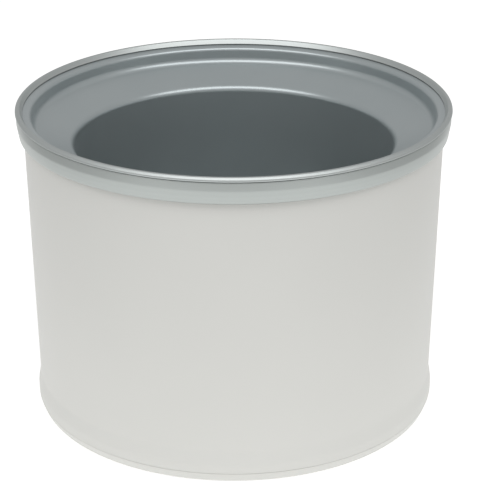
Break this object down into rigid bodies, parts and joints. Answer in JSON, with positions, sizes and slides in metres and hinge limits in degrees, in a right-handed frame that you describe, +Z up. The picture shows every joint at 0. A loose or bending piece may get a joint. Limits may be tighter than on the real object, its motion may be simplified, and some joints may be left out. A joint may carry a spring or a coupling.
{
  "type": "insulated freezer bowl",
  "caption": "Open double-walled freezer bowl: a metal bowl with a sloped shoulder and rolled rim, in a white tapered shell with a keyed base.",
  "frame": {"origin": "centre of the foot ring, on the surface that the bowl stands on", "axes": "+Z up along the bowl's axis, towards its mouth; X and Y run through the four key slots of the base"},
  "size_m": [0.19, 0.19, 0.1396],
  "materials": {
    "satin_metal": "dull satin",
    "rim_metal": "satin",
    "white_plastic": "satin moulded",
    "seal_rubber": "matt",
    "blue_gel": "frozen gel",
    "foam": "matt foam",
    "plug_plastic": "satin moulded"
  },
  "bodies": {
    "root": {"inner_bowl": "satin_metal", "closing_ring": "rim_metal", "rim_seal": "seal_rubber", "collar": "rim_metal", "coolant_jacket": "satin_metal", "freezing_gel": "blue_gel", "fill_plug": "plug_plastic", "plug_washer": "seal_rubber", "outer_shell": "white_plastic", "shell_seal": "seal_rubber", "base_cap": "white_plastic", "insulation_disc": "foam", "insulation_sleeve": "foam"}
  },
  "joints": []
}
